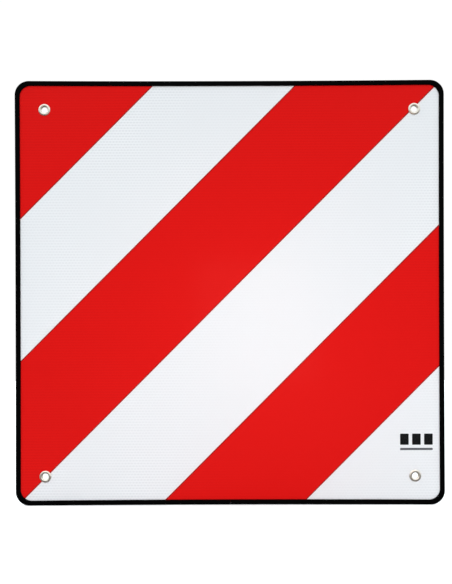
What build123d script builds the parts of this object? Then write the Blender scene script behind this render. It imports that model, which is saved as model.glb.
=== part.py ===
from build123d import *
import os

# Reflective warning panel for the rear of an overhanging load or carrier.
# A thin aluminium sheet carries white reflective film with red overlay stripes. Black U-section
# trim covers its edge, and four eyelets, clenched over washers, take the fixings.
#
# Millimetres. The panel stands in the XZ plane and faces -Y: +X is to its right as it is read,
# +Z is up. The origin is the middle of the eyelet pattern, on the back face of the sheet.
# Depth is measured from that face towards the front, along -Y, so what is behind it is negative.

# ---- driving dimensions ----
panel_width = 500.0  # over the trim, left to right
panel_height = 495.0  # over the trim, top to bottom
corner_radius = 16.5  # outside of the trim

sheet_thickness = 1.0
film_thickness = 0.4  # honeycomb reflective film with its adhesive
overlay_thickness = 0.1  # red transparent film
film_margin = 0.6  # the films stop this far inside the sheet's edge

trim_web = 1.6  # rubber between the sheet's edge and the outside
trim_lip = 1.4  # thickness of each lip
trim_face_width = 5.8  # trim seen from the front
trim_window_radius = 12.7  # inner corners of the lips
trim_edge_radius = 0.9  # rounding of the lips' edges
trim_bow_ends = 0.9  # how far the top and bottom runs draw in between the corners
trim_bow_sides = 0.4  # the same for the left and right runs
trim_seat_gap = 0.1  # sheet's edge to the bottom of the trim's groove, at the tightest place
trim_joint_gap = 0.2  # butt joint between the two ends of the trim

stripe_width = 116.7  # across a stripe, square to its edges
stripe_angle = 45.0  # the stripes rise to the right

eyelet_inset_x = 34.5  # eyelet centre to the side of the panel
eyelet_inset_z = 33.75  # eyelet centre to the top or bottom of the panel
eyelet_bore_radius = 3.5
eyelet_wall = 0.45
eyelet_flange_width = 3.45  # from the bore to the rim of the front flange
eyelet_flange_height = 1.1  # crown of the flange above the films
eyelet_clinch_width = 1.6  # from the bore to the rim of the rolled back end
eyelet_clearance = 0.6  # barrel to the edge of the punched hole
washer_width = 3.9  # from the bore to the washer's rim
washer_thickness = 0.5
washer_clearance = 0.15  # barrel to the washer's hole
washer_edge_radius = 0.15

mark_right = 14.0  # right end of the mark to the side of the panel
mark_bottom = 63.5  # foot of the mark to the bottom of the panel
mark_width = 38.0
mark_line_height = 2.6  # plain line under the blocks
mark_gap = 3.6  # between the line and the blocks
mark_block_height = 13.0
mark_block_width = 10.0
mark_blocks = 3
mark_corner_radius = 0.8
ink_thickness = 0.05

# ---- what follows from them ----
film_front = sheet_thickness + film_thickness
overlay_front = film_front + overlay_thickness
sheet_width = panel_width - 2 * (trim_web + trim_bow_sides + trim_seat_gap)
sheet_height = panel_height - 2 * (trim_web + trim_bow_ends + trim_seat_gap)
sheet_corner_radius = corner_radius - trim_web - trim_seat_gap
film_corner_radius = sheet_corner_radius - film_margin
eyelet_spacing_x = panel_width - 2 * eyelet_inset_x
eyelet_spacing_z = panel_height - 2 * eyelet_inset_z
barrel_radius = eyelet_bore_radius + eyelet_wall
punched_radius = barrel_radius + eyelet_clearance
flange_radius = eyelet_bore_radius + eyelet_flange_width
clinch_radius = eyelet_bore_radius + eyelet_clinch_width
washer_radius = eyelet_bore_radius + washer_width
far_corner = panel_width + panel_height  # further from the middle than any corner


def depth_plane(depth):
    """The plane parallel to the panel at this depth: local x is +X, local y is +Z."""
    return Plane.XZ.offset(depth)


def bowed_outline(inset, radius):
    """The trim's outline, drawn in by inset, with its four runs bowed towards the middle."""
    right = panel_width / 2 - inset
    top = panel_height / 2 - inset
    with BuildSketch() as outline:
        with BuildLine():
            SagittaArc((-right, -top), (right, -top), trim_bow_ends)
            SagittaArc((right, -top), (right, top), trim_bow_sides)
            SagittaArc((right, top), (-right, top), trim_bow_ends)
            SagittaArc((-right, top), (-right, -top), trim_bow_sides)
        make_face()
        fillet(outline.vertices(), radius)
    return outline.sketch


def punched_outline(width, height, radius):
    """A rounded rectangle with the four holes that the eyelets pass through."""
    with BuildSketch() as outline:
        RectangleRounded(width, height, radius)
        with GridLocations(eyelet_spacing_x, eyelet_spacing_z, 2, 2):
            Circle(punched_radius, mode=Mode.SUBTRACT)
    return outline.sketch


def stripe_band(start, end):
    """A straight band across the panel, between two distances from its middle towards lower right."""
    middle = (start + end) / 2
    with BuildSketch() as band:
        with Locations(Location(Vector(middle, 0, 0).rotate(Axis.Z, -stripe_angle))):
            Rectangle(end - start, 2 * far_corner, rotation=-stripe_angle)
    return band.sketch


# ---- sheet ----
with BuildPart() as backing_plate:
    with BuildSketch(depth_plane(0)):
        add(punched_outline(sheet_width, sheet_height, sheet_corner_radius))
    extrude(amount=sheet_thickness)
backing_plate.part.label = "backing_plate"

# ---- films ----
film_width = sheet_width - 2 * film_margin
film_height = sheet_height - 2 * film_margin

with BuildPart() as white_reflective_film:
    with BuildSketch(depth_plane(sheet_thickness)):
        add(punched_outline(film_width, film_height, film_corner_radius))
    extrude(amount=film_thickness)
white_reflective_film.part.label = "white_reflective_film"


def build_overlay(name, start, end):
    """One red stripe of overlay film, cut to the film's outline and punched with it."""
    with BuildPart() as overlay:
        with BuildSketch(depth_plane(film_front)):
            add(punched_outline(film_width, film_height, film_corner_radius))
            add(stripe_band(start, end), mode=Mode.INTERSECT)
        extrude(amount=overlay_thickness)
    overlay.part.label = name
    return overlay.part


overlays = [
    build_overlay("red_film_corner", -far_corner, -2 * stripe_width),
    build_overlay("red_film_centre", -stripe_width, 0),
    build_overlay("red_film_lower", stripe_width, 2 * stripe_width),
]

# ---- edge trim ----
with BuildPart() as edge_trim:
    with BuildSketch(depth_plane(-trim_lip)):
        add(bowed_outline(0, corner_radius))
        add(bowed_outline(trim_face_width, trim_window_radius), mode=Mode.SUBTRACT)
    extrude(amount=overlay_front + 2 * trim_lip)
    fillet(edge_trim.faces().filter_by(Axis.Y).edges(), trim_edge_radius)
    # the groove that grips the sheet and its films
    with BuildSketch(depth_plane(0)):
        add(bowed_outline(trim_web, corner_radius - trim_web))
    extrude(amount=overlay_front, mode=Mode.SUBTRACT)
    # the butt joint, at the middle of the bottom run
    with BuildSketch(depth_plane(-trim_lip)):
        with Locations((0, -panel_height / 2)):
            Rectangle(trim_joint_gap, 2 * (trim_face_width + trim_bow_ends + trim_web))
    extrude(amount=overlay_front + 2 * trim_lip, mode=Mode.SUBTRACT)
edge_trim.part.label = "edge_trim"


# ---- eyelets and washers ----
def turned_plane(x, z):
    """A plane through an eyelet's axis: local x is the radius and local y is the depth."""
    return Plane(origin=(x, 0, z), x_dir=(1, 0, 0), z_dir=(0, 0, -1))


def build_eyelet(name, x, z):
    """A pressed eyelet: crowned flange, funnel, barrel, and a rolled end over the washer."""
    crown_radius = flange_radius - eyelet_flange_height
    crown_depth = overlay_front + eyelet_flange_height
    funnel = crown_radius - eyelet_bore_radius
    under_crown = crown_depth - eyelet_wall
    roll = eyelet_clinch_width / 2
    roll_centre = eyelet_bore_radius + roll
    roll_back = -washer_thickness - roll
    with BuildPart() as eyelet:
        with BuildSketch(turned_plane(x, z)):
            with BuildLine():
                # outside, from the flange's rim over the crown and through the bore
                Line((flange_radius - eyelet_wall, overlay_front), (flange_radius, overlay_front))
                RadiusArc((flange_radius, overlay_front), (crown_radius, crown_depth), -eyelet_flange_height)
                RadiusArc((crown_radius, crown_depth), (eyelet_bore_radius, crown_depth - funnel), -funnel)
                Line((eyelet_bore_radius, crown_depth - funnel), (eyelet_bore_radius, -washer_thickness))
                ThreePointArc(
                    (eyelet_bore_radius, -washer_thickness),
                    (roll_centre, roll_back),
                    (clinch_radius, -washer_thickness),
                )
                # inside of the rolled end, back along the barrel and under the flange
                Line((clinch_radius, -washer_thickness), (clinch_radius - eyelet_wall, -washer_thickness))
                ThreePointArc(
                    (clinch_radius - eyelet_wall, -washer_thickness),
                    (roll_centre, roll_back + eyelet_wall),
                    (barrel_radius, -washer_thickness),
                )
                Line((barrel_radius, -washer_thickness), (barrel_radius, crown_depth - funnel))
                RadiusArc(
                    (barrel_radius, crown_depth - funnel),
                    (crown_radius, under_crown),
                    funnel - eyelet_wall,
                )
                RadiusArc(
                    (crown_radius, under_crown),
                    (flange_radius - eyelet_wall, overlay_front),
                    eyelet_flange_height - eyelet_wall,
                )
            make_face()
        revolve(axis=Axis((x, 0, z), (0, 1, 0)))
    eyelet.part.label = name
    return eyelet.part


def build_washer(name, x, z):
    """A flat washer on the back of the sheet, under the eyelet's rolled end."""
    with BuildPart() as washer:
        with BuildSketch(depth_plane(-washer_thickness)):
            with Locations((x, z)):
                Circle(washer_radius)
                Circle(barrel_radius + washer_clearance, mode=Mode.SUBTRACT)
        extrude(amount=washer_thickness)
        fillet(washer.edges().filter_by(GeomType.CIRCLE).group_by(SortBy.RADIUS)[-1], washer_edge_radius)
    washer.part.label = name
    return washer.part


rows = {"top": eyelet_spacing_z / 2, "bottom": -eyelet_spacing_z / 2}
columns = {"left": -eyelet_spacing_x / 2, "right": eyelet_spacing_x / 2}
eyelets = []
washers = []
for row, eyelet_z in rows.items():
    for column, eyelet_x in columns.items():
        eyelets.append(build_eyelet(f"eyelet_{row}_{column}", eyelet_x, eyelet_z))
        washers.append(build_washer(f"washer_{row}_{column}", eyelet_x, eyelet_z))

# ---- printed mark: plain blocks over a plain line ----
mark_middle = panel_width / 2 - mark_right - mark_width / 2
mark_foot = -panel_height / 2 + mark_bottom
mark_pitch = (mark_width - mark_block_width) / (mark_blocks - 1)

with BuildPart() as printed_mark:
    with BuildSketch(depth_plane(film_front)):
        with Locations((mark_middle, mark_foot + mark_line_height / 2)):
            RectangleRounded(mark_width, mark_line_height, mark_corner_radius)
        with Locations((mark_middle, mark_foot + mark_line_height + mark_gap + mark_block_height / 2)):
            with GridLocations(mark_pitch, 0, mark_blocks, 1):
                RectangleRounded(mark_block_width, mark_block_height, mark_corner_radius)
        # the ink is printed on white film only, so it stops at the lower stripe
        add(stripe_band(stripe_width, 2 * stripe_width), mode=Mode.SUBTRACT)
    extrude(amount=ink_thickness)
printed_mark.part.label = "printed_mark"

# ---- one file for each piece ----
pieces = [
    backing_plate.part,
    white_reflective_film.part,
    *overlays,
    edge_trim.part,
    *eyelets,
    *washers,
    printed_mark.part,
]
os.makedirs("parts", exist_ok=True)
for piece in pieces:
    export_step(piece, f"parts/{piece.label}.step")
    print(piece.label, len(piece.solids()), "solid(s), volume", round(piece.volume, 1), "mm3")
print("eyelet spacing", eyelet_spacing_x, "x", eyelet_spacing_z)
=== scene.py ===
# %% [markdown]
# # A rear load warning panel
# The panel is a stiff aluminium sheet faced with retroreflective film. Red bands of film are laid
# over a white one at 45 degrees. A black rubber strip is pushed over the raw edge, and a nickel
# eyelet is clenched into each corner, so that the panel can be tied behind a load that sticks out.
# The engineering model already holds every piece at its true size. This lesson loads it, models
# the rubber strip, the eyelets and the washers again with more detail, and gives every surface
# the finish that the real one gets from the way it is made.

import math
import random

import bpy
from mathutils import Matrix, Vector


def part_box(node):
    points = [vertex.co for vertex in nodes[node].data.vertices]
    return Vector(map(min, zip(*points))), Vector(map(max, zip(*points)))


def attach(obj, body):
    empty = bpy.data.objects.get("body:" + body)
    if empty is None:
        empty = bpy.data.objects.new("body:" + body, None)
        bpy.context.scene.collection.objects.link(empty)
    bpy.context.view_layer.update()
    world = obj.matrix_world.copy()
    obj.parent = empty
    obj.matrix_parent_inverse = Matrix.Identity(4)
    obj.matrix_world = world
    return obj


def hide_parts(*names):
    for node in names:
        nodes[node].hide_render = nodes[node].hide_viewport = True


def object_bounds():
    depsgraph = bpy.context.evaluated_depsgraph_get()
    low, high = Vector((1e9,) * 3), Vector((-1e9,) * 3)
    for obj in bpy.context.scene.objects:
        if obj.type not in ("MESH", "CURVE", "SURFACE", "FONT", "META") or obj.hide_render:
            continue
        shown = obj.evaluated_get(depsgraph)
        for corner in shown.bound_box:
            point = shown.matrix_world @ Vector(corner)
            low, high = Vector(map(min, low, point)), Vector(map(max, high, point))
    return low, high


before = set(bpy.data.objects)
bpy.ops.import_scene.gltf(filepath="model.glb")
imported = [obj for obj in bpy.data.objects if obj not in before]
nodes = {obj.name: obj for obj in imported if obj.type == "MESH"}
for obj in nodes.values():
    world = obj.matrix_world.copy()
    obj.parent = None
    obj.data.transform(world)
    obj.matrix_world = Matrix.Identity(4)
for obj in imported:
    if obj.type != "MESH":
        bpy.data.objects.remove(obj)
cad_low, cad_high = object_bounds()
MM = 0.001
print("pieces in the model:", len(nodes))
print("its box in mm:", [round(c / MM, 1) for c in (*cad_low, *cad_high)])

# %% [markdown]
# ## The camera
# A flat panel shows its proportions best from straight in front. The camera stands 0.9 m away,
# near enough to see a little way into the bores of the eyelets towards the corners. The focal
# length follows from the height that has to fit in the frame. The camera is rolled a touch, which
# leaves the panel a little out of level.

# %% Camera
CAMERA_DISTANCE = 0.9
FRAMED_HEIGHT = 679.6 * MM
SENSOR_LONG_SIDE = 36.0
AIM_BESIDE = -4.4 * MM
AIM_ABOVE = 0.9 * MM
ROLL = math.radians(0.17)

panel_middle = (cad_low + cad_high) / 2
camera_data = bpy.data.cameras.new("camera")
camera_data.sensor_width = SENSOR_LONG_SIDE
camera_data.lens = SENSOR_LONG_SIDE * CAMERA_DISTANCE / FRAMED_HEIGHT
camera_data.clip_end = 50
camera = bpy.data.objects.new("camera", camera_data)
bpy.context.scene.collection.objects.link(camera)
camera.location = (
    panel_middle.x + AIM_BESIDE,
    cad_low.y - CAMERA_DISTANCE,
    panel_middle.z + AIM_ABOVE,
)
camera.rotation_euler = (math.radians(90), ROLL, 0)
bpy.context.scene.camera = camera
print("focal length in mm:", round(camera_data.lens, 1))

# %% [markdown]
# ## Two helpers for materials
# A colour is given as an sRGB hex code, but light adds up on a linear scale, so one
# function converts it. The other adds a shader node, sets it up and wires it in one call, which
# keeps each material short enough to read from top to bottom.

# %% Colour and node helpers
def linear(hex_code):
    """A #rrggbb colour as the linear values that shaders work with."""
    shares = [int(hex_code[i : i + 2], 16) / 255 for i in (1, 3, 5)]
    lit = [s / 12.92 if s <= 0.04045 else ((s + 0.055) / 1.055) ** 2.4 for s in shares]
    return (*lit, 1.0)


def add_node(tree, kind, settings, inputs):
    """Adds a shader node, sets it up, then sets each input or links a socket to it."""
    node = tree.nodes.new("ShaderNode" + kind)
    for name, value in settings.items():
        setattr(node, name, value)
    for name, value in inputs.items():
        if isinstance(value, bpy.types.NodeSocket):
            tree.links.new(value, node.inputs[name])
        else:
            node.inputs[name].default_value = value
    return node


def start_material(name):
    """A new material with a bare Principled shader: its tree, the shader, and the place."""
    material = bpy.data.materials.new(name)
    material.use_nodes = True
    tree = material.node_tree
    tree.nodes.clear()
    shader = add_node(tree, "BsdfPrincipled", {}, {})
    add_node(tree, "OutputMaterial", {}, {"Surface": shader.outputs["BSDF"]})
    place = add_node(tree, "TexCoord", {}, {}).outputs["Object"]
    return material, tree, shader, place


def finish_node(node_name, material):
    """Gives a piece of the engineering model one material all over."""
    nodes[node_name].data.materials.clear()
    nodes[node_name].data.materials.append(material)


print("the band's red, linear:", [round(c, 3) for c in linear("#e0130c")[:3]])

# %% [markdown]
# ## Retroreflective film
# The film is a clear acrylic skin heat-sealed over a metallised layer along a honeycomb of thin
# walls, so that each cell is a tiny closed pocket of air. The eye gets a satin metallic white or
# a deep clear red, and close up a faint lattice, a shade lighter on the walls. Cells stand 3.7 mm
# apart, in rows a factor of root three over two closer, so they need no enlarging to be seen.
# A honeycomb is two grids of rectangles, one shifted by half a step. Wrapping a point into each
# and keeping the nearer middle tells how far it is from the middle of its own cell. The rows are
# also measured on their own, because the eye catches them before it catches single cells. They
# belong to the film's own lattice, and drawing them stronger in the colour is painted shade of
# the light from above on the raised walls.
# The lattice is drawn faintest in the middle of the panel, where the front light falls strongest:
# that fading is a painted highlight. Only its strength changes from place to place: the colours
# are the same all over.

# %% Honeycomb cells
CELL_PITCH = 3.7 * MM
HALF_ROW = math.sqrt(3) / 2


def cell_distance(tree, place):
    """0 in the middle of a honeycomb cell and 0.5 on its walls, over the face of the panel."""
    steps = add_node(
        tree, "VectorMath", {"operation": "SCALE"}, {0: place, "Scale": 1 / CELL_PITCH}
    ).outputs[0]
    reaches = []
    for shift in ((0, 0, 0), (0.5, 0, HALF_ROW)):
        moved = add_node(tree, "VectorMath", {"operation": "ADD"}, {0: steps, 1: shift})
        wrapped = add_node(
            tree,
            "VectorMath",
            {"operation": "WRAP"},
            {0: moved.outputs[0], 1: (0.5, 1, HALF_ROW), 2: (-0.5, -1, -HALF_ROW)},
        )
        away = add_node(tree, "VectorMath", {"operation": "ABSOLUTE"}, {0: wrapped.outputs[0]})
        beside = add_node(tree, "SeparateXYZ", {}, {0: away.outputs[0]}).outputs["X"]
        slanted = add_node(
            tree,
            "VectorMath",
            {"operation": "DOT_PRODUCT"},
            {0: away.outputs[0], 1: (0.5, 0, HALF_ROW)},
        ).outputs["Value"]
        reach = add_node(tree, "Math", {"operation": "MAXIMUM"}, {0: beside, 1: slanted})
        reaches.append(reach.outputs[0])
    nearer = add_node(tree, "Math", {"operation": "MINIMUM"}, {0: reaches[0], 1: reaches[1]})
    return nearer.outputs[0]


def row_distance(tree, place):
    """0 along the middle of a row of cells and 0.5 halfway to the next row."""
    height = add_node(tree, "SeparateXYZ", {}, {0: place}).outputs["Z"]
    rows = add_node(
        tree, "Math", {"operation": "DIVIDE"}, {0: height, 1: CELL_PITCH * HALF_ROW}
    ).outputs[0]
    within = add_node(tree, "Math", {"operation": "WRAP"}, {0: rows, 1: 0.5, 2: -0.5}).outputs[0]
    return add_node(tree, "Math", {"operation": "ABSOLUTE"}, {0: within}).outputs[0]


print("rows of cells apart, in mm:", round(CELL_PITCH * HALF_ROW / MM, 2))

# %% Film material
STRIPE_WIDTH = 116.7 * MM
# width of the line along every band edge: a painted highlight on the white film, painted shade on the
# red film
PAINTED_EDGE_WIDTH = 0.7 * MM
PAINTED_EDGE_FADE = 1.6 * PAINTED_EDGE_WIDTH
FAINTEST_LATTICE = 0.12
WALL_HEIGHT = 0.06 * MM
CALM_MIDDLE = (75 * MM, 0, -85 * MM)
CALM_CORE = 50 * MM
CALM_REACH = 320 * MM


def film_material(name, colours, lattice_share):
    """Metallised film under clear acrylic, from the colours of walls, cells and a painted line along
    the band edges.
    """
    material, tree, shader, place = start_material(name)
    wall_colour, cell_colour, painted_edge_line = [linear(c) for c in colours]
    # the lattice grows from its faintest around CALM_MIDDLE to its full strength at CALM_REACH: a
    # painted highlight where the front light is strongest
    from_middle = add_node(
        tree, "VectorMath", {"operation": "DISTANCE"}, {0: place, 1: CALM_MIDDLE}
    ).outputs["Value"]
    outward = add_node(
        tree,
        "MapRange",
        {"interpolation_type": "SMOOTHSTEP"},
        {0: from_middle, 1: CALM_CORE, 2: CALM_REACH},
    ).outputs[0]
    uneven = add_node(tree, "TexNoise", {}, {"Vector": place, "Scale": 7.0, "Detail": 2.0})
    patchy = add_node(
        tree, "MapRange", {}, {0: uneven.outputs[0], 1: 0.35, 2: 0.65, 3: 0.3, 4: 1.0}
    ).outputs[0]
    # painted highlight: the lattice fades towards CALM_MIDDLE, where the front light falls strongest,
    # so depth is random patchiness times this painted highlight
    light_washout = add_node(tree, "MapRange", {}, {0: outward, 3: FAINTEST_LATTICE, 4: 1.0}).outputs[0]
    depth = add_node(tree, "Math", {"operation": "MULTIPLY"}, {0: patchy, 1: light_washout}).outputs[0]
    walls = add_node(
        tree,
        "MapRange",
        {"interpolation_type": "SMOOTHSTEP"},
        {0: cell_distance(tree, place), 1: 0.16, 2: 0.46},
    ).outputs[0]
    # the rows are part of the film's lattice; their extra weight in the colour is painted shade of the
    # light from above on the raised walls
    rows = add_node(
        tree,
        "MapRange",
        {"interpolation_type": "SMOOTHSTEP"},
        {0: row_distance(tree, place), 1: 0.05, 2: 0.45},
    ).outputs[0]
    both = add_node(
        tree, "Mix", {"data_type": "FLOAT"}, {0: lattice_share, 2: rows, 3: walls}
    ).outputs[0]
    lattice = add_node(
        tree, "Mix", {"data_type": "FLOAT"}, {0: depth, 2: 0.5, 3: both}
    ).outputs[0]
    cells = add_node(
        tree, "Mix", {"data_type": "RGBA"}, {0: lattice, 6: cell_colour, 7: wall_colour}
    ).outputs[2]
    # distance across the bands, folded so that every band edge lies at zero
    across = add_node(
        tree,
        "VectorMath",
        {"operation": "DOT_PRODUCT"},
        {0: place, 1: (math.sqrt(0.5), 0, -math.sqrt(0.5))},
    ).outputs["Value"]
    folded = add_node(
        tree, "Math", {"operation": "WRAP"}, {0: across, 1: STRIPE_WIDTH / 2, 2: -STRIPE_WIDTH / 2}
    ).outputs[0]
    to_edge = add_node(tree, "Math", {"operation": "ABSOLUTE"}, {0: folded}).outputs[0]
    # painted highlight and painted shade: a thin line along every band edge, pinker and lighter on the
    # white film, darker on the red film
    edge = add_node(
        tree, "MapRange", {}, {0: to_edge, 1: PAINTED_EDGE_WIDTH, 2: PAINTED_EDGE_FADE, 3: 1.0, 4: 0.0}
    ).outputs[0]
    colour = add_node(
        tree, "Mix", {"data_type": "RGBA"}, {0: edge, 6: cells, 7: painted_edge_line}
    ).outputs[2]
    tree.links.new(colour, shader.inputs["Base Color"])
    rough = add_node(
        tree, "MapRange", {}, {0: uneven.outputs[0], 1: 0.3, 2: 0.7, 3: 0.46, 4: 0.52}
    ).outputs[0]
    tree.links.new(rough, shader.inputs["Roughness"])
    shader.inputs["Metallic"].default_value = 0.2
    shader.inputs["Specular IOR Level"].default_value = 0.1
    shader.inputs["Coat Weight"].default_value = 0.04
    shader.inputs["Coat Roughness"].default_value = 0.14
    relief = add_node(
        tree, "Bump", {}, {"Strength": 0.4, "Distance": WALL_HEIGHT, "Height": lattice}
    ).outputs[0]
    tree.links.new(relief, shader.inputs["Normal"])
    return material


# each film's third colour is its band-edge line: a painted highlight on the white, painted shade on
# the red
white_film = film_material(
    "white_retroreflective_film", ("#fafafb", "#e9e9eb", "#ffe6e2"), 0.5
)
red_film = film_material(
    "red_retroreflective_film", ("#e6110d", "#de0b0a", "#780810"), 0.3
)
finish_node("white_reflective_film", white_film)
for band in ("corner", "centre", "lower"):
    finish_node("red_film_" + band, red_film)
print("nodes in a film material:", len(red_film.node_tree.nodes))

# %% [markdown]
# ## Mill-finish aluminium
# The sheet behind the films is rolled aluminium, left as it comes from the mill. Ground rolls
# press fine parallel lines into it, along the direction of rolling, and handling adds thin
# scratches in every direction. The eye gets a pale grey metal with a streaked, blurred shine.
# The real lines are about 0.05 mm apart. They are drawn 0.5 mm apart so that they show.

# %% Aluminium material
ROLLING_LINE = 0.5 * MM
SCRATCH_LENGTH = 40 * MM

aluminium, tree, shader, place = start_material("mill_finish_aluminium")
along = add_node(
    tree, "Mapping", {}, {"Vector": place, "Scale": (1 / 0.12, 1.0, 1 / ROLLING_LINE)}
).outputs[0]
lines = add_node(tree, "TexNoise", {}, {"Vector": along, "Scale": 1.0, "Detail": 4.0}).outputs[0]
clouds = add_node(tree, "TexNoise", {}, {"Vector": place, "Scale": 6.0, "Detail": 5.0}).outputs[0]
scratch_masks = []
for turn in (0.35, 1.2, 2.3):
    turned = add_node(
        tree, "Mapping", {}, {"Vector": place, "Rotation": (0, turn, 0)}
    ).outputs[0]
    stretched = add_node(
        tree,
        "Mapping",
        {},
        {"Vector": turned, "Scale": (1 / SCRATCH_LENGTH, 1.0, 1 / (1.2 * MM))},
    ).outputs[0]
    field = add_node(tree, "TexNoise", {}, {"Vector": stretched, "Scale": 1.0, "Detail": 1.0})
    mask = add_node(
        tree, "MapRange", {}, {0: field.outputs[0], 1: 0.70, 2: 0.76, 3: 0.0, 4: 1.0}
    )
    scratch_masks.append(mask.outputs[0])
some = add_node(tree, "Math", {"operation": "MAXIMUM"}, {0: scratch_masks[0], 1: scratch_masks[1]})
scratches = add_node(tree, "Math", {"operation": "MAXIMUM"}, {0: some.outputs[0], 1: scratch_masks[2]})
tone = add_node(
    tree, "Mix", {"data_type": "RGBA"}, {0: lines, 6: linear("#b9bbbe"), 7: linear("#d6d8da")}
).outputs[2]
smudged = add_node(
    tree,
    "Mix",
    {"data_type": "RGBA", "blend_type": "MULTIPLY"},
    {0: 0.35, 6: tone, 7: clouds},
).outputs[2]
scored = add_node(
    tree, "Mix", {"data_type": "RGBA"}, {0: scratches.outputs[0], 6: smudged, 7: linear("#cfd1d3")}
).outputs[2]
tree.links.new(scored, shader.inputs["Base Color"])
blur = add_node(tree, "MapRange", {}, {0: clouds, 1: 0.3, 2: 0.7, 3: 0.34, 4: 0.5}).outputs[0]
tree.links.new(blur, shader.inputs["Roughness"])
shader.inputs["Metallic"].default_value = 1.0
ridges = add_node(
    tree, "Bump", {}, {"Strength": 0.35, "Distance": 0.05 * MM, "Height": lines}
).outputs[0]
tree.links.new(ridges, shader.inputs["Normal"])
finish_node("backing_plate", aluminium)
print("scratch directions:", len(scratch_masks))

# %% [markdown]
# ## Screen-printed ink
# A small plain mark is screen-printed on the white film: three solid blocks over a thin line.
# Solvent ink dries matte and is a little thin where the mesh of the screen lay. The eye gets a
# flat charcoal black in the blocks and a weaker grey in the line. A mesh thread is 0.1 mm thick,
# so its pattern is drawn 0.8 mm wide to show at all.

# %% Ink material
MESH_WIDTH = 0.8 * MM
LINE_TOP = cad_low.z + 67 * MM

ink, tree, shader, place = start_material("screen_printed_ink")
height = add_node(tree, "SeparateXYZ", {}, {0: place}).outputs["Z"]
in_blocks = add_node(tree, "MapRange", {}, {0: height, 1: LINE_TOP, 2: LINE_TOP + MM}).outputs[0]
ink_tone = add_node(
    tree, "Mix", {"data_type": "RGBA"}, {0: in_blocks, 6: linear("#5c5d60"), 7: linear("#060607")}
).outputs[2]
threads = add_node(tree, "TexNoise", {}, {"Vector": place, "Scale": 1 / MESH_WIDTH, "Detail": 1.0})
thin = add_node(
    tree, "MapRange", {}, {0: threads.outputs[0], 1: 0.45, 2: 0.75, 3: 0.0, 4: 0.12}
).outputs[0]
worn = add_node(
    tree, "Mix", {"data_type": "RGBA"}, {0: thin, 6: ink_tone, 7: linear("#6a6b6e")}
).outputs[2]
tree.links.new(worn, shader.inputs["Base Color"])
shader.inputs["Roughness"].default_value = 0.7
shader.inputs["Specular IOR Level"].default_value = 0.12
finish_node("printed_mark", ink)
print("ink turns grey below z in mm:", round(LINE_TOP / MM, 1))

# %% [markdown]
# ## Extruded rubber
# The edge strip is black EPDM rubber, pushed through a die. Carbon black makes it nearly lightless,
# and the die leaves a fine satin skin with a slight bloom. The eye gets a deep black with a weak,
# broad shine, a little greyer in places. The skin's grain is under 0.1 mm, drawn 0.6 mm wide.

# %% Rubber material
RUBBER_GRAIN = 0.6 * MM

rubber, tree, shader, place = start_material("extruded_epdm_rubber")
bloom = add_node(tree, "TexNoise", {}, {"Vector": place, "Scale": 25.0, "Detail": 4.0}).outputs[0]
grain = add_node(
    tree, "TexNoise", {}, {"Vector": place, "Scale": 1 / RUBBER_GRAIN, "Detail": 2.0}
).outputs[0]
black = add_node(
    tree, "Mix", {"data_type": "RGBA"}, {0: bloom, 6: linear("#010101"), 7: linear("#030303")}
).outputs[2]
tree.links.new(black, shader.inputs["Base Color"])
satin = add_node(tree, "MapRange", {}, {0: bloom, 1: 0.3, 2: 0.7, 3: 0.5, 4: 0.64}).outputs[0]
tree.links.new(satin, shader.inputs["Roughness"])
shader.inputs["Specular IOR Level"].default_value = 0.03
skin = add_node(
    tree, "Bump", {}, {"Strength": 0.25, "Distance": 0.04 * MM, "Height": grain}
).outputs[0]
tree.links.new(skin, shader.inputs["Normal"])
print("rubber grain in mm:", round(RUBBER_GRAIN / MM, 2))

# %% [markdown]
# ## Nickel plate
# Eyelets and washers are pressed from thin steel and barrel-plated with nickel. Tumbling in the
# barrel leaves a soft lustre with tiny knocks, and nickel is a warm silver, a touch yellower than
# chrome. The eye gets a creamy metal. The washers behind were plated duller.

# %% Nickel material
KNOCK_WIDTH = 1.1 * MM


def nickel_material(name, light_hex, dark_hex, shiny, dull):
    """Barrel-plated nickel whose lustre runs from shiny to dull."""
    material, tree, shader, place = start_material(name)
    knocks = add_node(
        tree, "TexNoise", {}, {"Vector": place, "Scale": 1 / KNOCK_WIDTH, "Detail": 3.0}
    ).outputs[0]
    tone = add_node(
        tree, "Mix", {"data_type": "RGBA"}, {0: knocks, 6: linear(dark_hex), 7: linear(light_hex)}
    ).outputs[2]
    tree.links.new(tone, shader.inputs["Base Color"])
    lustre = add_node(
        tree, "MapRange", {}, {0: knocks, 1: 0.3, 2: 0.7, 3: shiny, 4: dull}
    ).outputs[0]
    tree.links.new(lustre, shader.inputs["Roughness"])
    shader.inputs["Metallic"].default_value = 1.0
    dents = add_node(
        tree, "Bump", {}, {"Strength": 0.2, "Distance": 0.05 * MM, "Height": knocks}
    ).outputs[0]
    tree.links.new(dents, shader.inputs["Normal"])
    return material


nickel = nickel_material("barrel_plated_nickel", "#fff6ea", "#f3e8d9", 0.42, 0.52)
dull_nickel = nickel_material("dull_plated_nickel", "#d9d3c8", "#b5aea3", 0.38, 0.55)
print("nickel knocks in mm:", round(KNOCK_WIDTH / MM, 2))

# %% [markdown]
# ## The rubber edge strip
# The strip is a U: a web round the outside and two lips that grip the sheet and its films. Its
# four runs draw in a little between the corners, because it is bent round them under tension.
# The section has eight corners. Each corner, followed round the panel, is one rounded rectangle,
# so eight such loops are made and bridged in a ring. That keeps every dimension of the section
# exact, where extruding and scaling one loop would change its corners.

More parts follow.
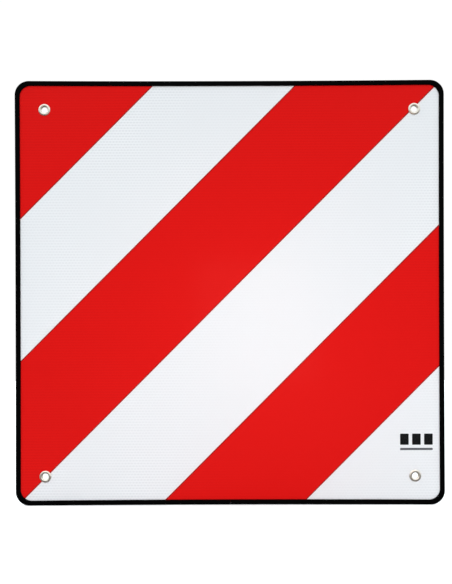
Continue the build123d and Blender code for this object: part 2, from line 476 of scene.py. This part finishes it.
# %% Sizes of the strip
trim_low, trim_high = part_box("edge_trim")
WEB = 1.6 * MM
LIP = 1.4 * MM
LIP_WIDTH = 5.8 * MM
OUTER_RADIUS = 16.5 * MM
WINDOW_RADIUS = 12.7 * MM
BOW_ENDS = 0.9 * MM
BOW_SIDES = 0.4 * MM
LIP_ROUNDING = 0.9 * MM
SEAM = 0.06 * MM
CORNER_STEPS = 14
RUN_CUTS = 23
half_width = 250 * MM
half_height = 247.5 * MM
front = trim_low.y
back = trim_high.y
groove_front = front + LIP
groove_back = back - LIP
print("the groove is this wide in mm:", round((groove_back - groove_front) / MM, 2))


# %% One loop of the strip
def start_clean():
    """Leaves edit mode and deselects everything, so that an operator touches one piece only."""
    if bpy.context.mode != "OBJECT":
        bpy.ops.object.mode_set(mode="OBJECT")
    bpy.ops.object.select_all(action="DESELECT")


def select_places(kind, test):
    """In edit mode, selects the vertices, edges or faces whose place passes the test."""
    bpy.ops.mesh.select_mode(type=kind)
    bpy.ops.mesh.select_all(action="DESELECT")
    bpy.ops.object.mode_set(mode="OBJECT")
    mesh = bpy.context.object.data
    for vertex in mesh.vertices if kind == "VERT" else ():
        vertex.select = test(vertex)
    for edge in mesh.edges if kind == "EDGE" else ():
        edge.select = test(edge)
    for face in mesh.polygons if kind == "FACE" else ():
        face.select = test(face)
    bpy.ops.object.mode_set(mode="EDIT")


def trim_loop(label, inset, radius, depth):
    """A rounded rectangle of edges, drawn in by inset, with its four runs bowed inwards."""
    start_clean()
    bpy.ops.mesh.primitive_plane_add(size=2, location=(0, depth, 0), rotation=(math.pi / 2, 0, 0))
    loop = bpy.context.object
    right = half_width - inset
    top = half_height - inset
    loop.scale = (right, top, 1)
    bpy.ops.object.transform_apply(location=True, rotation=True, scale=True)
    bpy.ops.object.mode_set(mode="EDIT")
    bpy.ops.mesh.select_all(action="SELECT")
    bpy.ops.mesh.bevel(affect="VERTICES", offset=radius, segments=CORNER_STEPS, profile=0.5)
    bpy.ops.mesh.select_all(action="SELECT")
    bpy.ops.mesh.delete(type="ONLY_FACE")
    points = loop.data.vertices
    select_places(
        "EDGE", lambda e: (points[e.vertices[0]].co - points[e.vertices[1]].co).length > 100 * MM
    )
    bpy.ops.mesh.subdivide(number_cuts=RUN_CUTS)
    runs = (
        ((0, -top), (0, BOW_ENDS), right),
        ((0, top), (0, -BOW_ENDS), right),
        ((-right, 0), (BOW_SIDES, 0), top),
        ((right, 0), (-BOW_SIDES, 0), top),
    )
    for (middle_x, middle_z), (shift_x, shift_z), reach in runs:
        middle = Vector((middle_x, depth, middle_z))
        select_places("VERT", lambda v: (v.co - middle).length < 1 * MM)
        bpy.ops.transform.translate(
            value=(shift_x, 0, shift_z),
            use_proportional_edit=True,
            proportional_edit_falloff="INVERSE_SQUARE",
            proportional_size=reach,
        )
    bpy.ops.object.mode_set(mode="OBJECT")
    group = loop.vertex_groups.new(name=label)
    group.add(range(len(loop.data.vertices)), 1.0, "REPLACE")
    return loop


section = (
    ("outer_front", 0, OUTER_RADIUS, front),
    ("window_front", LIP_WIDTH, WINDOW_RADIUS, front),
    ("window_groove_front", LIP_WIDTH, WINDOW_RADIUS, groove_front),
    ("floor_front", WEB, OUTER_RADIUS - WEB, groove_front),
    ("floor_back", WEB, OUTER_RADIUS - WEB, groove_back),
    ("window_groove_back", LIP_WIDTH, WINDOW_RADIUS, groove_back),
    ("window_back", LIP_WIDTH, WINDOW_RADIUS, back),
    ("outer_back", 0, OUTER_RADIUS, back),
)
loops = [trim_loop(*corner) for corner in section]
print("points in each loop:", [len(loop.data.vertices) for loop in loops])

# %% Bridge the loops into a U
start_clean()
for loop in loops:
    loop.select_set(True)
bpy.context.view_layer.objects.active = loops[0]
bpy.ops.object.join()
strip = bpy.context.object
strip.name = "rubber_edge_strip"


def select_groups(*labels):
    """In edit mode, selects the vertices of the named groups and the edges between them."""
    bpy.ops.mesh.select_mode(type="VERT")
    bpy.ops.mesh.select_all(action="DESELECT")
    for label in labels:
        bpy.ops.object.vertex_group_set_active(group=label)
        bpy.ops.object.vertex_group_select()


bpy.ops.object.mode_set(mode="EDIT")
labels = [corner[0] for corner in section]
for i, label in enumerate(labels):
    select_groups(label, labels[(i + 1) % len(labels)])
    bpy.ops.mesh.bridge_edge_loops()
bpy.ops.object.mode_set(mode="OBJECT")
print("faces of the U before it is rounded:", len(strip.data.polygons))

# %% Round the lips
ROUNDED = ("outer_front", "window_front", "window_back", "outer_back")
points = strip.data.vertices


def on_rounded_loop(edge):
    """True for an edge that runs along one of the four loops that the die rounds off."""
    start, end = (points[i].groups[0].group for i in edge.vertices)
    return start == end and strip.vertex_groups[start].name in ROUNDED


bpy.ops.object.mode_set(mode="EDIT")
select_places("EDGE", on_rounded_loop)
bpy.ops.mesh.bevel(affect="EDGES", offset=LIP_ROUNDING, segments=6, profile=0.5)
bpy.ops.mesh.select_all(action="SELECT")
bpy.ops.mesh.normals_make_consistent(inside=False)
bpy.ops.object.mode_set(mode="OBJECT")
print("faces of the U, rounded:", len(strip.data.polygons))

# %% [markdown]
# The strip is one length, cut square and closed on itself by a butt joint in the middle of the
# bottom run. Two cuts 0.06 mm apart are made through the bottom run only, what lies between them
# is deleted, and each end is closed by a face.

# %% Cut the butt joint
bpy.ops.object.mode_set(mode="EDIT")
for side in (-1, 1):
    select_places("FACE", lambda f: f.center.z < -200 * MM and abs(f.center.x) < 30 * MM)
    bpy.ops.mesh.bisect(
        plane_co=(side * SEAM / 2, 0, 0), plane_no=(1, 0, 0), threshold=0.005 * MM
    )
select_places("FACE", lambda f: f.center.z < -200 * MM and abs(f.center.x) < 0.45 * SEAM)
bpy.ops.mesh.delete(type="FACE")
points = strip.data.vertices
for side in (-1, 1):
    select_places(
        "EDGE",
        lambda e: all(
            points[i].co.z < -200 * MM and abs(points[i].co.x - side * SEAM / 2) < 0.01 * MM
            for i in e.vertices
        ),
    )
    bpy.ops.mesh.edge_face_add()
bpy.ops.mesh.select_all(action="SELECT")
bpy.ops.mesh.normals_make_consistent(inside=False)
bpy.ops.object.mode_set(mode="OBJECT")
bpy.ops.object.shade_smooth_by_angle(angle=math.radians(40))
strip.vertex_groups.clear()
strip.data.materials.append(rubber)
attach(strip, "root")
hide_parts("edge_trim")
print("the strip's size in mm:", [round(d / MM, 2) for d in strip.dimensions])

# %% [markdown]
# ## The eyelets
# An eyelet is drawn from sheet metal: a crowned flange in front, a funnel into the bore, and a
# thin barrel whose end is rolled outwards over a washer behind. It is round, so its section is
# drawn once as a chain of points and spun about its axis. The rolled end splits a little as it
# spreads, and those splits are pulled in one by one afterwards.

# %% Sizes of an eyelet
first_low, first_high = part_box("eyelet_top_left")
eyelet_centre = (first_low + first_high) / 2
BORE = 3.5 * MM
METAL = 0.45 * MM
CROWN_HEIGHT = 1.1 * MM
FUNNEL = 1.6 * MM
flange = (first_high.x - first_low.x) / 2
crown = BORE + FUNNEL
shoulder = flange - crown
seat = first_low.y + CROWN_HEIGHT
funnel_foot = first_low.y + FUNNEL
roll_radius = 0.8 * MM
roll_seat = first_high.y - roll_radius
roll_middle = BORE + roll_radius
TURN_STEPS = 120
print("flange radius in mm:", round(flange / MM, 2))


# %% Section of an eyelet
def arc(middle_radius, middle_y, width, height, start, end, steps):
    """Points (radius from the axis, y) along part of an ellipse, in degrees from outwards."""
    angles = [math.radians(start + (end - start) * i / steps) for i in range(steps + 1)]
    return [
        (middle_radius + width * math.cos(a), middle_y - height * math.sin(a)) for a in angles
    ]


inner_roll = roll_radius - METAL
inner_funnel = FUNNEL - METAL
eyelet_section = [
    *arc(crown, seat, shoulder, CROWN_HEIGHT, 0, 90, 10),
    *arc(crown, funnel_foot, FUNNEL, FUNNEL, 90, 180, 10)[1:],
    (BORE, (funnel_foot + roll_seat) / 2),
    *arc(roll_middle, roll_seat, roll_radius, roll_radius, 180, 360, 12),
    *arc(roll_middle, roll_seat, inner_roll, inner_roll, 360, 180, 6),
    (BORE + METAL, (funnel_foot + roll_seat) / 2),
    *arc(crown, funnel_foot, inner_funnel, inner_funnel, 180, 90, 5),
    *arc(crown, seat, shoulder - METAL, CROWN_HEIGHT - METAL, 90, 0, 5)[1:],
]
print("points in the section:", len(eyelet_section))


# %% Spin the section
def spun_ring(name, outline, centre):
    """A solid of revolution about the Y axis through centre, from a closed outline."""
    start_clean()
    radius, y = outline[0]
    at = (centre.x + radius, y, centre.z)
    bpy.ops.mesh.primitive_plane_add(size=0.1 * MM, location=at)
    ring = bpy.context.object
    ring.name = name
    bpy.ops.object.transform_apply(location=True, rotation=True, scale=True)
    bpy.ops.object.mode_set(mode="EDIT")
    bpy.ops.mesh.select_mode(type="VERT")
    bpy.ops.mesh.select_all(action="SELECT")
    bpy.ops.mesh.merge(type="CENTER")
    bpy.ops.mesh.select_all(action="SELECT")
    for next_radius, next_y in outline[1:]:
        bpy.ops.mesh.extrude_vertices_move(
            TRANSFORM_OT_translate={"value": (next_radius - radius, next_y - y, 0)}
        )
        radius, y = next_radius, next_y
    first = Vector(at)
    last = Vector((centre.x + radius, y, centre.z))
    select_places("VERT", lambda v: min((v.co - first).length, (v.co - last).length) < 0.001 * MM)
    bpy.ops.mesh.edge_face_add()
    bpy.ops.mesh.select_all(action="SELECT")
    bpy.ops.mesh.spin(
        steps=TURN_STEPS, angle=math.tau, center=(centre.x, 0, centre.z), axis=(0, 1, 0)
    )
    bpy.ops.mesh.select_all(action="SELECT")
    bpy.ops.mesh.remove_doubles(threshold=0.002 * MM)
    bpy.ops.mesh.normals_make_consistent(inside=False)
    bpy.ops.object.mode_set(mode="OBJECT")
    return ring


eyelet = spun_ring("eyelet_model", eyelet_section, eyelet_centre)
print("eyelet faces:", len(eyelet.data.polygons))

# %% Split the rolled end
SPLITS = 7
SPLIT_HALF_ANGLE = math.radians(2.2)
chance = random.Random(4)
bpy.ops.object.mode_set(mode="EDIT")
for i in range(SPLITS):
    aim = math.tau * (i + chance.uniform(-0.2, 0.2)) / SPLITS

    def in_split(vertex):
        """True for the outer half of the rolled end, near this split's direction."""
        arm = vertex.co - eyelet_centre
        turn = (math.atan2(arm.z, arm.x) - aim + math.pi) % math.tau - math.pi
        out = math.hypot(arm.x, arm.z)
        return abs(turn) < SPLIT_HALF_ANGLE and out > roll_middle and vertex.co.y > roll_seat - MM / 20

    select_places("VERT", in_split)
    shrink = chance.uniform(0.9, 0.94)
    bpy.ops.transform.resize(
        value=(shrink, 1, shrink), center_override=(eyelet_centre.x, 0, eyelet_centre.z)
    )
bpy.ops.object.mode_set(mode="OBJECT")
bpy.ops.object.shade_smooth_by_angle(angle=math.radians(50))
eyelet.data.materials.append(nickel)
print("splits in the rolled end:", SPLITS)


# %% [markdown]
# ## The washers
# A washer is stamped from strip: a disc with a hole, rounded on the side where the punch entered.
# A disc is inset to mark the hole, the middle is deleted, and the ring is given its thickness.

# %% Washer
washer_low, washer_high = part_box("washer_top_left")
washer_radius = (washer_high.x - washer_low.x) / 2
HOLE_CLEARANCE = 0.15 * MM
hole_radius = BORE + METAL + HOLE_CLEARANCE

start_clean()
bpy.ops.mesh.primitive_circle_add(
    vertices=TURN_STEPS,
    radius=washer_radius,
    fill_type="NGON",
    location=(eyelet_centre.x, washer_low.y, eyelet_centre.z),
    rotation=(math.pi / 2, 0, 0),
)
washer = bpy.context.object
washer.name = "washer_model"
bpy.ops.object.transform_apply(location=True, rotation=True, scale=True)
bpy.ops.object.mode_set(mode="EDIT")
bpy.ops.mesh.select_all(action="SELECT")
bpy.ops.mesh.inset(thickness=washer_radius - hole_radius)
bpy.ops.mesh.delete(type="FACE")
bpy.ops.mesh.select_all(action="SELECT")
bpy.ops.mesh.extrude_region_move(
    TRANSFORM_OT_translate={"value": (0, washer_high.y - washer_low.y, 0)}
)
bpy.ops.mesh.select_all(action="SELECT")
bpy.ops.mesh.normals_make_consistent(inside=False)
points = washer.data.vertices
select_places(
    "EDGE", lambda e: all(points[i].co.y > washer_high.y - 0.01 * MM for i in e.vertices)
    and (points[e.vertices[0]].co - points[e.vertices[1]].co).length < MM
)
bpy.ops.mesh.bevel(affect="EDGES", offset=0.14 * MM, segments=3, profile=0.5)
bpy.ops.object.mode_set(mode="OBJECT")
bpy.ops.object.shade_smooth_by_angle(angle=math.radians(50))
washer.data.materials.append(dull_nickel)
print("washer faces:", len(washer.data.polygons))


# %% Copy to the four corners
def copy_to(model, name, node_name, quarter_turns):
    """A copy of the model with its own mesh, turned and moved to the middle of a node."""
    start_clean()
    copy = model.copy()
    copy.data = model.data.copy()
    copy.name = name
    bpy.context.scene.collection.objects.link(copy)
    low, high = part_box(node_name)
    move = (low + high) / 2 - eyelet_centre
    copy.select_set(True)
    bpy.context.view_layer.objects.active = copy
    bpy.ops.object.mode_set(mode="EDIT")
    bpy.ops.mesh.select_all(action="SELECT")
    bpy.ops.transform.rotate(
        value=quarter_turns * math.pi / 2,
        orient_axis="Y",
        center_override=(eyelet_centre.x, 0, eyelet_centre.z),
    )
    bpy.ops.transform.translate(value=(move.x, 0, move.z))
    bpy.ops.object.mode_set(mode="OBJECT")
    return copy


for turns, corner in enumerate(("top_left", "top_right", "bottom_left", "bottom_right")):
    new_eyelet = copy_to(eyelet, "nickel_eyelet_" + corner, "eyelet_" + corner, turns)
    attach(new_eyelet, "root")
    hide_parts("eyelet_" + corner)
    new_washer = copy_to(washer, "nickel_washer_" + corner, "washer_" + corner, turns)
    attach(new_washer, "root")
    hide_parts("washer_" + corner)
for model in (eyelet, washer):
    bpy.data.objects.remove(model)
print("eyelets and washers placed on:", [n for n in nodes if n.startswith(("eyelet", "washer"))])

# %% [markdown]
# ## The stage
# The panel stands on its edge on a plain pale floor. Round everything is a white tent that only
# the camera sees, so the background stays clean while the light is free to come from where it
# should. The floor is two discs. The camera sees the upper one, which glows a little and so stays
# white without a shadow. The lower one is unseen and throws the room's light back up at the panel.
# Neither is mirrored in the metal, which keeps the undersides of the eyelets dark.

# %% Floor and tent
TENT_RADIUS = 9.0
FLOOR_RADIUS = 1.4
TENT_GLOW = 1.02
FLOOR_GLOW = 0.4
FLOOR_PAINT = linear("#f6f6f6")

start_clean()
bpy.ops.mesh.primitive_ico_sphere_add(subdivisions=4, radius=TENT_RADIUS)
tent = bpy.context.object
tent.name = "white_tent"
bpy.ops.mesh.primitive_circle_add(
    vertices=96, radius=FLOOR_RADIUS, fill_type="NGON", location=(0, 0, cad_low.z)
)
floor = bpy.context.object
floor.name = "studio_floor"
bpy.ops.object.duplicate()
bounce = bpy.context.object
bounce.name = "floor_bounce"
for ray in ("diffuse", "glossy", "transmission", "volume_scatter", "shadow"):
    setattr(tent, "visible_" + ray, False)
    setattr(floor, "visible_" + ray, False)
bounce.visible_camera = False
bounce.visible_glossy = False
bounce.location.z -= 0.1 * MM

tent_cloth = bpy.data.materials.new("tent_cloth")
tent_cloth.use_nodes = True
tent_cloth.node_tree.nodes.clear()
glow = add_node(
    tent_cloth.node_tree, "Emission", {}, {"Color": linear("#ffffff"), "Strength": TENT_GLOW}
)
add_node(tent_cloth.node_tree, "OutputMaterial", {}, {"Surface": glow.outputs[0]})
tent.data.materials.append(tent_cloth)

bounce_paint, tree, shader, place = start_material("bounce_paint")
shader.inputs["Base Color"].default_value = FLOOR_PAINT
shader.inputs["Specular IOR Level"].default_value = 0.0
bounce.data.materials.append(bounce_paint)

floor_paint, tree, shader, place = start_material("floor_paint")
shader.inputs["Base Color"].default_value = FLOOR_PAINT
shader.inputs["Roughness"].default_value = 0.9
shader.inputs["Specular IOR Level"].default_value = 0.0
shader.inputs["Emission Color"].default_value = linear("#ffffff")
shader.inputs["Emission Strength"].default_value = FLOOR_GLOW
floor.data.materials.append(floor_paint)
print("floor at z in mm:", round(cad_low.z / MM, 1))

# %% [markdown]
# ## The light
# Most of the light is a soft glow from all round, stronger from above and weaker from below, with
# a dark gap where the camera looks out, so that the gloss of the film and the rubber stays clean.
# One small warm softbox in front, a little low and to the right, makes the middle of the panel
# brighter than its corners.

# %% Soft light
FRONT_LIGHT_WATTS = 0.66
FRONT_LIGHT_SIZE = 0.25
FRONT_LIGHT_PLACE = (0.06, -0.7, -0.06)
ROOM_BELOW = 0.05
ROOM_ABOVE = 1.44
GAP_LEVEL = 0.04
front_light = bpy.data.lights.new("front_softbox", "AREA")
front_light.size = FRONT_LIGHT_SIZE
front_light.energy = FRONT_LIGHT_WATTS
front_light.color = (1.0, 0.71, 0.634)
front_holder = bpy.data.objects.new("front_softbox", front_light)
bpy.context.scene.collection.objects.link(front_holder)
front_holder.location = FRONT_LIGHT_PLACE
front_holder.rotation_euler = (math.radians(90), 0, 0)

room = bpy.data.worlds.new("studio_room")
bpy.context.scene.world = room
room.use_nodes = True
tree = room.node_tree
tree.nodes.clear()
direction = add_node(tree, "TexCoord", {}, {}).outputs["Generated"]
parts = add_node(tree, "SeparateXYZ", {}, {0: direction})
from_above = add_node(
    tree,
    "MapRange",
    {"interpolation_type": "SMOOTHSTEP"},
    {0: parts.outputs["Z"], 1: -0.3, 2: 0.45, 3: ROOM_BELOW, 4: ROOM_ABOVE},
).outputs[0]
gap = add_node(
    tree,
    "MapRange",
    {"interpolation_type": "SMOOTHSTEP"},
    {0: parts.outputs["Y"], 1: -0.985, 2: -0.88, 3: GAP_LEVEL, 4: 1.0},
).outputs[0]
level = add_node(tree, "Math", {"operation": "MULTIPLY"}, {0: from_above, 1: gap}).outputs[0]
glow = add_node(tree, "Background", {}, {0: linear("#f1fbff"), 1: level})
add_node(tree, "OutputWorld", {}, {"Surface": glow.outputs[0]})
bpy.context.scene.view_settings.view_transform = "Standard"
print("front light in watts:", FRONT_LIGHT_WATTS)
